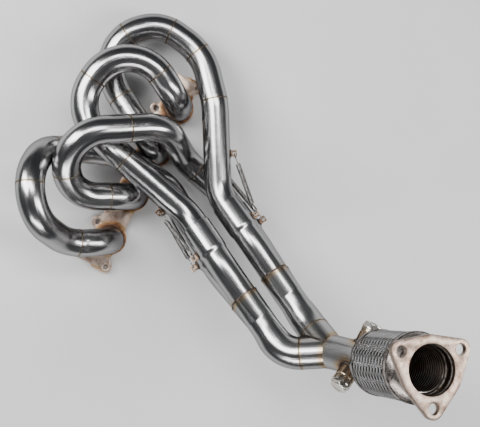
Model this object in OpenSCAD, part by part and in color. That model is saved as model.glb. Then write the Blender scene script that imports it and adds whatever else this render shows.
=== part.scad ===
// Four-into-two-into-one exhaust manifold with slip joints, a flex section and a three-bolt outlet.
// The head flange lies on z = 0 with the row of ports along X, and the tubes rise from it along +Z.

/* [Tubes] */
// Outside diameter of the primary tubes
primary_od = 42.7; // [40:0.1:43]
// Outside diameter of the secondary tubes
secondary_od = 45; // [44:0.1:46]
// Outside diameter of the collector pipe
pipe_od = 50.8; // [50:0.1:52]
// Wall of every tube
wall = 1.5; // [1.2:0.1:2]

/* [Head flange] */
// Distance from one port to the next
port_pitch = 80; // [78:1:82]
// Thickness of the head flange
head_t = 10; // [8:1:12]
// Diameter of the stud holes
stud_d = 9; // [8:0.5:9]

/* [Slip joints] */
// Length of the expanded part of each sleeve
sleeve_len = 48; // [46:1:50]
// Length of the upper tube inside the sleeve
spigot_len = 40; // [36:1:42]
// Gap all round between the upper tube and the sleeve
slip_gap = 0.3; // [0.2:0.05:0.4]
// Distance between the axes of a front tube and the rear tube behind it
pair_depth = 49; // [48.5:0.5:50]
// Sideways shift of a rear tube from its front tube
pair_shift = 8; // [6:1:9]

/* [Flex section] */
// Length from the inlet end to the front of the outlet flange
flex_total = 142; // [140:1:144]
// Outside diameter of the braid
braid_od = 90; // [88:1:92]
// Number of convolutions of the bellows
bellows_folds = 15; // [10:1:18]

/* [Outlet flange] */
// Bore of the outlet
outlet_bore = 63.5; // [62:0.5:64]
// Pitch circle of the three bolt holes
outlet_pcd = 94; // [92:1:96]
// Diameter of the bolt holes
outlet_hole_d = 14; // [12:0.5:14.5]
// Thickness of the outlet flange
outlet_t = 8; // [6:1:10]

/* [Hidden] */
$fn = 48;

// The slip joints share one direction, and each pair of tubes is stacked across it.
slip_dir = unit([-45, -80, 38]);
slip_side = unit(cross(slip_dir, [0, 0, 1]));
slip_up = cross(slip_side, slip_dir);
left_front = [-36, -106, 108];
right_front = [16, -134, 88];
left_rear = left_front - pair_depth * slip_up + pair_shift * slip_side;
right_rear = right_front - pair_depth * slip_up - pair_shift * slip_side;
slip_tops = [left_rear, right_rear, right_front, left_front];

// Routes of the tube centres: corner x, y, z and the radius of the bend there.
primary_1_path = [[-120, 0, 0, 0], [-120, 0, 77, 50], [-149, 56, 95, 60], [-122, 148, 198, 62],
    [-39, 151, 114, 60], [-11, 106, 49, 58], [8, 53, 53, 64], [-2, -47, 50, 90],
    at(left_rear, -26, 80), at(left_rear, spigot_len, 0)];
primary_2_path = [[-40, 0, 0, 0], [-40, 0, 74, 50], [-85, 91, 110, 56], [3, 127, 160, 56],
    [78, 6, 117, 58], [49, -49, 41, 60],
    at(right_rear, -38, 80), at(right_rear, spigot_len, 0)];
primary_3_path = [[40, 0, 0, 0], [40, 0, 67, 45], [100, 105, 42, 64], [163, 152, 43, 62],
    [222, 83, 55, 64], [211, 5, 59, 90], [149, -47, 74, 90],
    at(right_front, -22, 60), at(right_front, spigot_len, 0)];
primary_4_path = [[120, 0, 0, 0], [120, 0, 84, 50], [190, 124, 102, 62], [34, 143, 86, 64],
    [7, 44, 102, 90], at(left_front, -25, 70), at(left_front, spigot_len, 0)];
paths = [primary_1_path, primary_2_path, primary_3_path, primary_4_path];

// A straight is this much thinner than the arcs that it runs into, so that its lapped ends lie
// inside their walls, and a ball is this much larger than the tubes that meet in it.
slim = 0.2;
lap = 0.6;
ball_step = 0.15;
// How far a cutting shape passes through what it cuts.
over = 1;
tube_bend_fn = 96;

// Head flange: the lobe round each port, the web between them, and the ears round the stud holes.
lobe_r = 26;
web_low = -15;
web_high = 29;
web_past_port = 34;
fillet_r = 7;
ear_r = 10;
upper_stud_pitch = 104;
upper_stud_y = 31;
lower_stud_pitch = 165;
lower_stud_y = -14;
low_corner = [18, 20];
high_corner = [20, 12];
high_corner_at = [161, 20];
port_xs = [for (i = [-1.5 : 1.5]) i * port_pitch];
studs = concat([for (i = [-1 : 1]) [i * upper_stud_pitch, upper_stud_y]],
    [for (i = [-1 : 1]) [i * lower_stud_pitch, lower_stud_y]]);

// Slip joints: below its sleeve each lower tube bends towards the point where its pair merges.
neck_len = 8;
lower_corner = 75;
lower_bend_r = 90;
merge_at = 172;
merge_branch = 42;
merge_stub = 12;
twin_gap = 0.05;
sleeve_id = primary_od + 2 * slip_gap;
left_mid = (left_front + left_rear) / 2;
right_mid = (right_front + right_rear) / 2;
left_merge = left_mid + merge_at * slip_dir - 6 * slip_side;
right_merge = right_mid + merge_at * slip_dir + 3 * slip_side;
mids = [left_mid, right_mid, right_mid, left_mid];
merges = [left_merge, right_merge, right_merge, left_merge];

// The two secondaries meet at the junction, and the collector pipe leaves it for the flex section.
junction = [-107.5, -358.5, 200];
flex_dir = unit([22, -9, 100]);
outlet_face = [-53, -411, 429];
flex_start = outlet_face - flex_total * flex_dir;
pipe_corner = flex_start - 38 * flex_dir;
branch_len = 43.2;
left_corner = left_merge + 62 * slip_dir;
right_corner = right_merge + 45 * slip_dir;
pipe_start_len = 14;
secondary_left_path = [row(left_merge, 0), row(left_corner, 48), row(junction, 0)];
secondary_right_path = [row(right_merge, 0), row(right_corner, 90), row(junction, 0)];
collector_pipe_path = [row(junction, 0), row(pipe_corner, 50), row(flex_start, 0)];

// Sensor bosses on the collector pipe, and the plugs that close them. Each starts on the pipe's axis.
boss_od = 28;
boss_bore = 16.4;
boss_foot = 20;
boss_top = 46;
washer_t = 3;
washer_od = boss_od + 2;
head_af = 24;
head_h = 6;
shank_len = 14;
shank_gap = 0.3;
boss_station = 50;
boss_at = junction + boss_station * unit(pipe_corner - junction);
lower_boss_dir = unit([-86, 26, 43]);
upper_boss_dir = unit([100, 3, 4]);

// Spring tabs: how far before the last corner the upper one sits, the side it is on, and how far
// its eye stands off the tube.
tab_back = [34, 36, 62, 34];
tab_sides = [1, -1, -1, 1];
tab_lifts = [7, 8, 6, 6];
tab_before_end = 7;
tab_w = 10;
tab_t = 2.6;
tab_above_eye = 4.4;
tab_gap = 0.06;
eye_d = 4.8;
wire_d = 1.6;
hook_r = 4;
hook_len = 18;
coil_od = 8;

// The flex section, measured from its inlet end along flex_dir.
ring_od = braid_od + 1;
cap_t = 3;
band_len = 8;
band_t = 2;
braid_t = 2;
braid_end = 98;
ring_end = 108;
cone_end = 120;
joint_gap = 0.3;
liner_r = 31;
liner_t = 1;
fold_in = 33.5;
fold_out = 40;
fold_t = 1;

// Outlet flange: rounded corners on the bolt holes, and a rounder middle.
outlet_turn = 87;
outlet_corner_r = 13.5;
outlet_middle_r = 43;

function unit(v) = v / norm(v);
function row(p, r) = [p[0], p[1], p[2], r];
function at(top, s, r) = row(top + s * slip_dir, r);
function pt(p, i) = [p[i][0], p[i][1], p[i][2]];
function dir(p, i) = unit(pt(p, i + 1) - pt(p, i));
function turn(p, i) = acos(dir(p, i - 1) * dir(p, i));
function reach(p, i) = i == 0 || i == len(p) - 1 ? 0 : p[i][3] * tan(turn(p, i) / 2);
function inward(p, i) = unit(dir(p, i) - (dir(p, i) * dir(p, i - 1)) * dir(p, i - 1));

// Puts its children in a frame with the given origin, X and Y directions.
module frame(o, x, y) {
    z = cross(x, y);
    multmatrix([[x[0], y[0], z[0], o[0]], [x[1], y[1], z[1], o[1]], [x[2], y[2], z[2], o[2]], [0, 0, 0, 1]])
        children();
}

// Puts its children with Z along the given direction.
module along(o, z) {
    x = unit(abs(z[2]) > 0.9 ? cross([0, 1, 0], z) : cross([0, 0, 1], z));
    frame(o, x, cross(z, x)) children();
}

module ring_2d(od, id) {
    difference() {
        circle(d = od);
        if (id > 0) circle(d = id);
    }
}

// The straight stretch that leaves corner i, between the arcs at its two ends. A stretch is a
// hair thinner than an arc, so that its lapped ends lie inside the wall of the arcs they join.
module straight(p, i, od, id, skip_start = 0, skip_end = 0) {
    s = pt(p, i) + (reach(p, i) + skip_start) * dir(p, i);
    e = pt(p, i + 1) - (reach(p, i + 1) + skip_end) * dir(p, i);
    along(s, dir(p, i)) linear_extrude(norm(e - s)) ring_2d(od - slim, id > 0 ? id + slim : 0);
}

// The arc at corner i.
module bend(p, i, od, id) {
    s = pt(p, i) - reach(p, i) * dir(p, i - 1);
    n = inward(p, i);
    frame(s + p[i][3] * n, -n, dir(p, i - 1))
        rotate_extrude(angle = turn(p, i), $fn = tube_bend_fn) translate([p[i][3], 0]) ring_2d(od, id);
}

// Corners first to last of a route, each with the straight stretch before it.
module tube_run(p, first, last, od, tail = false) {
    color("silver") union() {
        for (i = [first : last]) {
            straight(p, i - 1, od, od - 2 * wall, i == 1 ? head_t : i == first ? 0 : -lap, -lap);
            bend(p, i, od, od - 2 * wall);
        }
        if (tail) straight(p, last, od, od - 2 * wall, -lap);
    }
}

module head_outline() {
    end_x = 1.5 * port_pitch + web_past_port;
    offset(r = -fillet_r) offset(delta = fillet_r) {
        for (x = port_xs) translate([x, 0]) circle(r = lobe_r);
        translate([-end_x, web_low]) square([2 * end_x, web_high - web_low]);
        for (at = studs) translate(at) circle(r = ear_r);
        for (s = [-1, 1]) {
            translate([s * lower_stud_pitch - low_corner[0] / 2, lower_stud_y]) square(low_corner);
            translate([s * high_corner_at[0] - high_corner[0] / 2, high_corner_at[1]]) square(high_corner);
        }
    }
}

module head_flange() {
    color("antiquewhite") difference() {
        linear_extrude(head_t) head_outline();
        for (x = port_xs) translate([x, 0, -over]) cylinder(h = head_t + 2 * over, d = primary_od - 2 * wall);
        for (at = studs) translate([at[0], at[1], -over]) cylinder(h = head_t + 2 * over, d = stud_d);
    }
}

// Sleeve, neck and lower tube of slip joint k (0 to 3), cut off where its twin lies against it.
module slip_tube(k) {
    top = slip_tops[k];
    corner = top + lower_corner * slip_dir;
    lean = unit(merges[k] - corner);
    route = [at(top, sleeve_len + neck_len, 0), row(corner, lower_bend_r),
        row(merges[k] - merge_branch * lean, 0)];
    away = unit(top - mids[k]);
    bend_at = lower_corner - reach(route, 1) + lap;
    neck_at = sleeve_len + neck_len;
    outside = (primary_od - slim) / 2;
    inside = primary_od / 2 - wall + slim / 2;
    color("silver") intersection() {
        union() {
            along(top, slip_dir) rotate_extrude() polygon([
                [sleeve_id / 2, 0], [sleeve_id / 2 + wall, 0], [sleeve_id / 2 + wall, sleeve_len],
                [outside, neck_at], [outside, bend_at], [inside, bend_at], [inside, neck_at],
                [sleeve_id / 2, sleeve_len]]);
            bend(route, 1, primary_od, primary_od - 2 * wall);
            straight(route, 1, primary_od, primary_od - 2 * wall, -lap);
        }
        frame(mids[k], slip_dir, cross(away, slip_dir))
            translate([-merge_at / 2, -pair_depth, twin_gap])
                cube([2 * merge_at, 2 * pair_depth, 2 * pair_depth]);
    }
}

module merge_solid(side, r, stub) {
    front = side == 0 ? left_front : right_front;
    rear = side == 0 ? left_rear : right_rear;
    centre = side == 0 ? left_merge : right_merge;
    for (top = [front, rear]) {
        lean = unit(centre - top - lower_corner * slip_dir);
        along(centre - merge_branch * lean, lean) cylinder(h = merge_branch, r = r);
    }
    translate(centre) sphere(r = r + ball_step);
    along(centre, slip_dir) cylinder(h = stub, r = r);
}

module merge(side) {
    color("silver") difference() {
        merge_solid(side, secondary_od / 2, merge_stub);
        merge_solid(side, secondary_od / 2 - wall, merge_stub);
    }
}

module secondary(p) {
    color("silver") union() {
        straight(p, 0, secondary_od, secondary_od - 2 * wall, merge_stub, -lap);
        bend(p, 1, secondary_od, secondary_od - 2 * wall);
        straight(p, 1, secondary_od, secondary_od - 2 * wall, -lap, branch_len);
    }
}

module collector_solid(r_in, r_out) {
    for (p = [secondary_left_path, secondary_right_path])
        along(junction - branch_len * dir(p, 1), dir(p, 1)) cylinder(h = branch_len, r = r_in);
    translate(junction) sphere(r = r_out + ball_step);
    along(junction, dir(collector_pipe_path, 0)) cylinder(h = pipe_start_len, r = r_out);
}

module collector() {
    color("silver") difference() {
        collector_solid(secondary_od / 2, pipe_od / 2);
        collector_solid(secondary_od / 2 - wall, pipe_od / 2 - wall);
    }
}

module pipe_run(id) {
    straight(collector_pipe_path, 0, pipe_od, id, pipe_start_len, -lap);
    bend(collector_pipe_path, 1, pipe_od, id);
    straight(collector_pipe_path, 1, pipe_od, id, -lap);
}

module collector_pipe() {
    color("silver") difference() {
        pipe_run(pipe_od - 2 * wall);
        along(boss_at, lower_boss_dir) cylinder(h = boss_top, d = boss_bore);
        along(boss_at, upper_boss_dir) cylinder(h = boss_top, d = boss_bore);
    }
}

// A boss starts inside the pipe, and the pipe and the collector are cut out of it.
module sensor_boss(axis) {
    color("lightgray") difference() {
        along(boss_at, axis) translate([0, 0, boss_foot]) cylinder(h = boss_top - boss_foot, d = boss_od);
        pipe_run(0);
        collector_solid(secondary_od / 2, pipe_od / 2);
        along(boss_at, axis) cylinder(h = boss_top + over, d = boss_bore);
    }
}

module plug_washer(axis) {
    color("goldenrod") along(boss_at, axis) translate([0, 0, boss_top])
        linear_extrude(washer_t) ring_2d(washer_od, boss_bore);
}

module sensor_plug(axis) {
    color("gray") along(boss_at, axis) {
        translate([0, 0, boss_top - shank_len])
            cylinder(h = shank_len + washer_t, d = boss_bore - 2 * shank_gap);
        translate([0, 0, boss_top + washer_t]) cylinder(h = head_h, d = head_af / cos(30), $fn = 6);
    }
}

function last_dir(k) = dir(paths[k], len(paths[k]) - 3);
function across(v, e) = unit(v - (v * e) * e);
function upper_out(k) = across(tab_sides[k] * slip_side, last_dir(k));
function upper_axis(k) = pt(paths[k], len(paths[k]) - 2) - tab_back[k] * last_dir(k);
function upper_eye(k) = upper_axis(k) + (primary_od / 2 + tab_lifts[k]) * upper_out(k);
function lower_axis(k) = slip_tops[k] + (sleeve_len - tab_before_end) * slip_dir;
function lower_eye(k) = lower_axis(k) + (sleeve_id / 2 + wall + tab_lifts[k]) * tab_sides[k] * slip_side;

// A tab on the tube of radius r through point o: out is away from the tube, e is along it, and
// the eye stands off the tube by lift.
module tab(o, out, e, r, lift) {
    color("lightgray") frame(o, e, cross(out, e)) difference() {
        translate([-tab_w / 2, -tab_t / 2, r + tab_gap]) cube([tab_w, tab_t, lift + tab_above_eye]);
        translate([0, 0, r + lift]) rotate([90, 0, 0])
            cylinder(h = tab_t + 2 * over, d = eye_d, center = true);
    }
}

module upper_tab(k) {
    tab(upper_axis(k), upper_out(k), last_dir(k), primary_od / 2, tab_lifts[k]);
}

module lower_tab(k) {
    tab(lower_axis(k), tab_sides[k] * slip_side, slip_dir, sleeve_id / 2 + wall, tab_lifts[k]);
}

// A spring as a hollow coil body with a wire and a closed hook at each end.
module spring(k) {
    s = unit(lower_eye(k) - upper_eye(k));
    len_k = norm(lower_eye(k) - upper_eye(k));
    w = across(cross(upper_out(k), last_dir(k)), s);
    color("dimgray") frame(upper_eye(k), w, cross(s, w)) {
        translate([0, 0, hook_len]) linear_extrude(len_k - 2 * hook_len)
            ring_2d(coil_od, coil_od - 2 * wire_d);
        for (z = [hook_len - wire_d, len_k - hook_len])
            translate([0, 0, z]) cylinder(h = wire_d, d = coil_od);
        for (z = [2 * hook_r, len_k - hook_len + wire_d])
            translate([0, 0, z]) cylinder(h = hook_len - wire_d - 2 * hook_r, d = wire_d);
        for (z = [hook_r, len_k - hook_r]) translate([0, 0, z]) rotate([90, 0, 0])
            rotate_extrude() translate([hook_r, 0]) circle(d = wire_d, $fn = 16);
    }
}

module flex_part() {
    color("lightgray") along(flex_start, flex_dir) children();
}

module flex_inlet_ring() {
    flex_part() {
        linear_extrude(cap_t) ring_2d(ring_od, pipe_od - 2 * wall);
        translate([0, 0, cap_t]) linear_extrude(band_len - cap_t) ring_2d(ring_od, ring_od - 2 * band_t);
    }
}

module flex_liner() {
    flex_part() translate([0, 0, cap_t + joint_gap])
        linear_extrude(ring_end - cap_t) ring_2d(2 * liner_r, 2 * (liner_r - liner_t));
}

module flex_bellows() {
    from = cap_t + joint_gap;
    step = (ring_end - joint_gap - from) / bellows_folds / 2;
    outer = [for (i = [0 : 2 * bellows_folds])
        [i % 2 == 0 ? fold_in + fold_t : fold_out, from + i * step]];
    inner = [for (i = [2 * bellows_folds : -1 : 0])
        [i % 2 == 0 ? fold_in : fold_out - fold_t, from + i * step]];
    flex_part() rotate_extrude() polygon(concat(outer, inner));
}

module flex_braid() {
    flex_part() translate([0, 0, band_len + joint_gap])
        linear_extrude(braid_end - band_len - 2 * joint_gap) ring_2d(braid_od, braid_od - 2 * braid_t);
}

module flex_outlet_ring() {
    outer_r = ring_od / 2;
    step_in = 1;
    cone_root = ring_end + 4;
    flex_part() rotate_extrude() polygon([
        [outer_r - band_t, braid_end], [outer_r, braid_end],
        [outer_r, ring_end], [outlet_bore / 2 + wall, cone_end],
        [outlet_bore / 2, cone_end], [outlet_bore / 2 + step_in, cone_root],
        [outer_r - band_t, ring_end]]);
}

module outlet_stub() {
    flex_part() translate([0, 0, cone_end])
        linear_extrude(flex_total - outlet_t - cone_end) ring_2d(outlet_bore + 2 * wall, outlet_bore);
}

module at_outlet_holes() {
    for (a = [0 : 120 : 240]) rotate(outlet_turn + a) translate([outlet_pcd / 2, 0]) children();
}

module outlet_flange() {
    color("antiquewhite") along(flex_start, flex_dir) translate([0, 0, flex_total - outlet_t]) difference() {
        linear_extrude(outlet_t) hull() {
            at_outlet_holes() circle(r = outlet_corner_r);
            circle(r = outlet_middle_r);
        }
        translate([0, 0, -over]) cylinder(h = outlet_t + 2 * over, d = outlet_bore);
        translate([0, 0, -over]) at_outlet_holes() cylinder(h = outlet_t + 2 * over, d = outlet_hole_d);
    }
}

module primary_1_port_elbow() { tube_run(primary_1_path, 1, 1, primary_od); }
module primary_1_outer_bend() { tube_run(primary_1_path, 2, 3, primary_od); }
module primary_1_crown_bend() { tube_run(primary_1_path, 4, 4, primary_od); }
module primary_1_return_bend() { tube_run(primary_1_path, 5, 6, primary_od); }
module primary_1_under_bend() { tube_run(primary_1_path, 7, 7, primary_od); }
module primary_1_spigot() { tube_run(primary_1_path, 8, 8, primary_od, true); }
module primary_2_port_elbow() { tube_run(primary_2_path, 1, 1, primary_od); }
module primary_2_outer_bend() { tube_run(primary_2_path, 2, 2, primary_od); }
module primary_2_crown_bend() { tube_run(primary_2_path, 3, 3, primary_od); }
module primary_2_return_bend() { tube_run(primary_2_path, 4, 5, primary_od); }
module primary_2_spigot() { tube_run(primary_2_path, 6, 6, primary_od, true); }
module primary_3_port_elbow() { tube_run(primary_3_path, 1, 1, primary_od); }
module primary_3_outer_bend() { tube_run(primary_3_path, 2, 3, primary_od); }
module primary_3_crown_bend() { tube_run(primary_3_path, 4, 4, primary_od); }
module primary_3_return_bend() { tube_run(primary_3_path, 5, 6, primary_od); }
module primary_3_spigot() { tube_run(primary_3_path, 7, 7, primary_od, true); }
module primary_4_port_elbow() { tube_run(primary_4_path, 1, 1, primary_od); }
module primary_4_outer_bend() { tube_run(primary_4_path, 2, 2, primary_od); }
module primary_4_crown_bend() { tube_run(primary_4_path, 3, 4, primary_od); }
module primary_4_spigot() { tube_run(primary_4_path, 5, 5, primary_od, true); }
module slip_tube_1() { slip_tube(0); }
module slip_tube_2() { slip_tube(1); }
module slip_tube_3() { slip_tube(2); }
module slip_tube_4() { slip_tube(3); }
module upper_tab_1() { upper_tab(0); }
module upper_tab_2() { upper_tab(1); }
module upper_tab_3() { upper_tab(2); }
module upper_tab_4() { upper_tab(3); }
module lower_tab_1() { lower_tab(0); }
module lower_tab_2() { lower_tab(1); }
module lower_tab_3() { lower_tab(2); }
module lower_tab_4() { lower_tab(3); }
module spring_1() { spring(0); }
module spring_2() { spring(1); }
module spring_3() { spring(2); }
module spring_4() { spring(3); }
module merge_left() { merge(0); }
module merge_right() { merge(1); }
module secondary_left() { secondary(secondary_left_path); }
module secondary_right() { secondary(secondary_right_path); }
module sensor_boss_lower() { sensor_boss(lower_boss_dir); }
module sensor_boss_upper() { sensor_boss(upper_boss_dir); }
module sensor_plug_lower() { sensor_plug(lower_boss_dir); }
module sensor_plug_upper() { sensor_plug(upper_boss_dir); }
module plug_washer_lower() { plug_washer(lower_boss_dir); }
module plug_washer_upper() { plug_washer(upper_boss_dir); }

head_flange();
primary_1_port_elbow();
primary_1_outer_bend();
primary_1_crown_bend();
primary_1_return_bend();
primary_1_under_bend();
primary_1_spigot();
primary_2_port_elbow();
primary_2_outer_bend();
primary_2_crown_bend();
primary_2_return_bend();
primary_2_spigot();
primary_3_port_elbow();
primary_3_outer_bend();
primary_3_crown_bend();
primary_3_return_bend();
primary_3_spigot();
primary_4_port_elbow();
primary_4_outer_bend();
primary_4_crown_bend();
primary_4_spigot();
slip_tube_1();
slip_tube_2();
slip_tube_3();
slip_tube_4();
upper_tab_1();
upper_tab_2();
upper_tab_3();
upper_tab_4();
lower_tab_1();
lower_tab_2();
lower_tab_3();
lower_tab_4();
spring_1();
spring_2();
spring_3();
spring_4();
merge_left();
merge_right();
secondary_left();
secondary_right();
collector();
collector_pipe();
sensor_boss_lower();
sensor_boss_upper();
sensor_plug_lower();
sensor_plug_upper();
plug_washer_lower();
plug_washer_upper();
flex_inlet_ring();
flex_liner();
flex_bellows();
flex_braid();
flex_outlet_ring();
outlet_stub();
outlet_flange();
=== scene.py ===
import math

import bmesh
import bpy
import numpy as np
from mathutils import Matrix, Vector


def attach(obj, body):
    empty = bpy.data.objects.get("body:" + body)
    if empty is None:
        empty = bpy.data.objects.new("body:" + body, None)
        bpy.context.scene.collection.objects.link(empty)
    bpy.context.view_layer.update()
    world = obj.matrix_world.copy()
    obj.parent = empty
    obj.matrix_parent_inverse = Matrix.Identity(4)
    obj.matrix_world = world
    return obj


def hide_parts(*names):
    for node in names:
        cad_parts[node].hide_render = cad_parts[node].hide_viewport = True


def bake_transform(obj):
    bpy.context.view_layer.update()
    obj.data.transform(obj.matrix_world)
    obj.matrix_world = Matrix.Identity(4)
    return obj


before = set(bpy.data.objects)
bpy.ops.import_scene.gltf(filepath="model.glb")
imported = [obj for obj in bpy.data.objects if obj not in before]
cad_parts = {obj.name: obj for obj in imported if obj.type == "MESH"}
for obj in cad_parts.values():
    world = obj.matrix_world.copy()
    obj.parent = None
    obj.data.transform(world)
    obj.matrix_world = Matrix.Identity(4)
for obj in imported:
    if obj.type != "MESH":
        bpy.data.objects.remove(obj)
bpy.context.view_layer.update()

# Every length in this script is in millimetres until a mesh is made.
MM = 0.001

# ---------------------------------------------------------------- sizes

TUBE_R = 21.35
SECONDARY_R = 22.5
SECONDARY_SWELL = 2.0
SWELL_LEN = 30.0
PIPE_R = 25.4
WALL = 1.5
HEAD_T = 10.0
PORT_PITCH = 80.0
AROUND = 72

SLEEVE_R = 23.15
SLEEVE_BORE = 21.65
SLEEVE_LEN = 48.0
NECK_LEN = 8.0
SPIGOT_LEN = 40.0
PAIR_DEPTH = 49.0
PAIR_SHIFT = 8.0
LOWER_CORNER = 75.0
LOWER_BEND_R = 90.0
PAIR_GAP = 0.15
MERGE_AT = 172.0
MERGE_BRANCH = 42.0
MERGE_STUB = 12.0
BRANCH_LEN = 43.2
PIPE_SEAM = 3.0

BOSS_R = 14.0
BOSS_BORE_R = 8.2
BOSS_TOP = 46.0
BOSS_STATION = 50.0
WASHER_T = 3.0
HEX_FLATS = 24.0
HEX_H = 6.0

TAB_BACK = (34, 36, 62, 34)
TAB_SIDES = (1, -1, -1, 1)
TAB_LIFTS = (7, 8, 6, 6)
TAB_BEFORE_END = 7.0
TAB_FOOT = (6.2, 2.2)
WIRE_R = 0.8
HOOK_R = 4.0
HOOK_LEN = 18.0
COIL_R = 3.2

FLEX_LEN = 142.0
RING_R = 45.5
BRAID_R = 44.2
CAP_T = 3.0
BAND_LEN = 8.0
BRAID_END = 98.0
RING_END = 108.0
CONE_END = 120.0
OUTLET_T = 8.0
BORE_R = 31.75
LINER_R = 31.0
FLEX_MIDDLE = 50.0
BAND_T = 2.0
BELLOWS_FOLD = 7.0
LINER_RIB = 5.6
BRAID_BANDS = 12
BRAID_PITCH = 8.5
WIRES_IN_BAND = 4

# Weld beads: the usual one, how far it stands off the tube, and the one on the head flange.
BEAD_R = 1.2
BEAD_STANDS = 0.45
PORT_BEAD_R = 2.4


def vec(*values):
    return np.array(values, float)


def unit(v):
    return np.asarray(v, float) / np.linalg.norm(v)


def across(v, axis):
    """The part of v at right angles to axis, as a unit vector."""
    return unit(v - (v @ axis) * axis)


SLIP_DIR = unit((-45, -80, 38))
SLIP_SIDE = unit(np.cross(SLIP_DIR, (0, 0, 1)))
SLIP_UP = np.cross(SLIP_SIDE, SLIP_DIR)
LEFT_FRONT = vec(-36, -106, 108)
RIGHT_FRONT = vec(16, -134, 88)
LEFT_REAR = LEFT_FRONT - PAIR_DEPTH * SLIP_UP + PAIR_SHIFT * SLIP_SIDE
RIGHT_REAR = RIGHT_FRONT - PAIR_DEPTH * SLIP_UP - PAIR_SHIFT * SLIP_SIDE
SLIP_TOPS = (LEFT_REAR, RIGHT_REAR, RIGHT_FRONT, LEFT_FRONT)
LEFT_MID = (LEFT_FRONT + LEFT_REAR) / 2
RIGHT_MID = (RIGHT_FRONT + RIGHT_REAR) / 2
LEFT_MERGE = LEFT_MID + MERGE_AT * SLIP_DIR - 6 * SLIP_SIDE
RIGHT_MERGE = RIGHT_MID + MERGE_AT * SLIP_DIR + 3 * SLIP_SIDE
MIDS = (LEFT_MID, RIGHT_MID, RIGHT_MID, LEFT_MID)
MERGES = (LEFT_MERGE, RIGHT_MERGE, RIGHT_MERGE, LEFT_MERGE)

JUNCTION = vec(-107.5, -358.5, 200)
FLEX_DIR = unit((22, -9, 100))
OUTLET_FACE = vec(-53, -411, 429)
FLEX_START = OUTLET_FACE - FLEX_LEN * FLEX_DIR
PIPE_CORNER = FLEX_START - 38 * FLEX_DIR
BOSS_AXES = {"lower": unit((-86, 26, 43)), "upper": unit((100, 3, 4))}


# ---------------------------------------------------------------- centre lines

def slip_row(top, station, radius):
    return (*(top + station * SLIP_DIR), radius)


PRIMARY_ROUTES = {
    1: ((-120, 0, 0, 0), (-120, 0, 77, 50), (-149, 56, 95, 60), (-122, 148, 198, 62),
        (-39, 151, 114, 60), (-11, 106, 49, 58), (8, 53, 53, 64), (-2, -47, 50, 90),
        slip_row(LEFT_REAR, -26, 80), slip_row(LEFT_REAR, SPIGOT_LEN, 0)),
    2: ((-40, 0, 0, 0), (-40, 0, 74, 50), (-85, 91, 110, 56), (3, 127, 160, 56),
        (78, 6, 117, 58), (49, -49, 41, 60),
        slip_row(RIGHT_REAR, -38, 80), slip_row(RIGHT_REAR, SPIGOT_LEN, 0)),
    3: ((40, 0, 0, 0), (40, 0, 67, 45), (100, 105, 42, 64), (163, 152, 43, 62),
        (222, 83, 55, 64), (211, 5, 59, 90), (149, -47, 74, 90),
        slip_row(RIGHT_FRONT, -22, 60), slip_row(RIGHT_FRONT, SPIGOT_LEN, 0)),
    4: ((120, 0, 0, 0), (120, 0, 84, 50), (190, 124, 102, 62), (34, 143, 86, 64),
        (7, 44, 102, 90), slip_row(LEFT_FRONT, -25, 70), slip_row(LEFT_FRONT, SPIGOT_LEN, 0)),
}

# How far along its tube each sub-part of a primary ends, at a weld. The last one ends in its sleeve.
PRIMARY_PARTS = {
    1: {"port_elbow": 116, "outer_bend": 260, "crown_bend": 346, "return_bend": 474, "under_bend": 584,
        "spigot": None},
    2: {"port_elbow": 105, "outer_bend": 195, "crown_bend": 329, "return_bend": 500, "spigot": None},
    3: {"port_elbow": 137, "outer_bend": 250, "crown_bend": 322, "return_bend": 456, "spigot": None},
    4: {"port_elbow": 126, "outer_bend": 245, "crown_bend": 396, "spigot": None},
}
# Welds inside a sub-part: the number of the primary and how far along it.
EXTRA_WELDS = ((3, 375),)


class Route:
    """A centre line of straight stretches and round bends, from rows of x, y, z and bend radius."""

    def __init__(self, rows):
        rows = [np.array(row, float) for row in rows]
        self.points = [row[:3] for row in rows]
        self.radii = [row[3] for row in rows]
        self.dirs = [unit(b - a) for a, b in zip(self.points, self.points[1:])]
        bends = [math.acos(np.clip(a @ b, -1, 1)) for a, b in zip(self.dirs, self.dirs[1:])]
        self.turns = [0.0] + bends + [0.0]
        self.reaches = [r * math.tan(turn / 2) for r, turn in zip(self.radii, self.turns)]
        self.begins, self.ends = [0.0], [0.0]
        for i in range(1, len(rows)):
            gap_shade = np.linalg.norm(self.points[i] - self.points[i - 1])
            self.begins.append(self.ends[-1] + gap_shade - self.reaches[i - 1] - self.reaches[i])
            self.ends.append(self.begins[-1] + self.radii[i] * self.turns[i])
        self.length = self.ends[-1]

    def at(self, station):
        """The point and the direction at a station, which may lie past either end."""
        for i, way in enumerate(self.dirs):
            if station <= self.begins[i + 1] or i == len(self.dirs) - 1:
                return self.points[i] + (self.reaches[i] + station - self.ends[i]) * way, way
            if station < self.ends[i + 1]:
                radius = self.radii[i + 1]
                angle = (station - self.begins[i + 1]) / radius
                inward = across(self.dirs[i + 1], way)
                start = self.points[i + 1] - self.reaches[i + 1] * way
                point = start + radius * (inward * (1 - math.cos(angle)) + way * math.sin(angle))
                return point, way * math.cos(angle) + inward * math.sin(angle)


def spread(first, last, step=4.0, edge=14.0, fine=1.4):
    """Stations from first to last, closer together near both ends, where welds tint the steel."""
    if last - first < 2 * edge:
        return np.linspace(first, last, max(2, math.ceil((last - first) / fine)))
    ends = math.ceil(edge / fine)
    middle = math.ceil((last - first - 2 * edge) / step)
    return np.concatenate([
        np.linspace(first, first + edge, ends, endpoint=False),
        np.linspace(first + edge, last - edge, middle, endpoint=False),
        np.linspace(last - edge, last, ends + 1)])


def any_side(axis):
    """A unit vector at right angles to axis."""
    return across(vec(0, 0, 1) if abs(axis[2]) < 0.9 else vec(0, 1, 0), axis)


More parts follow.
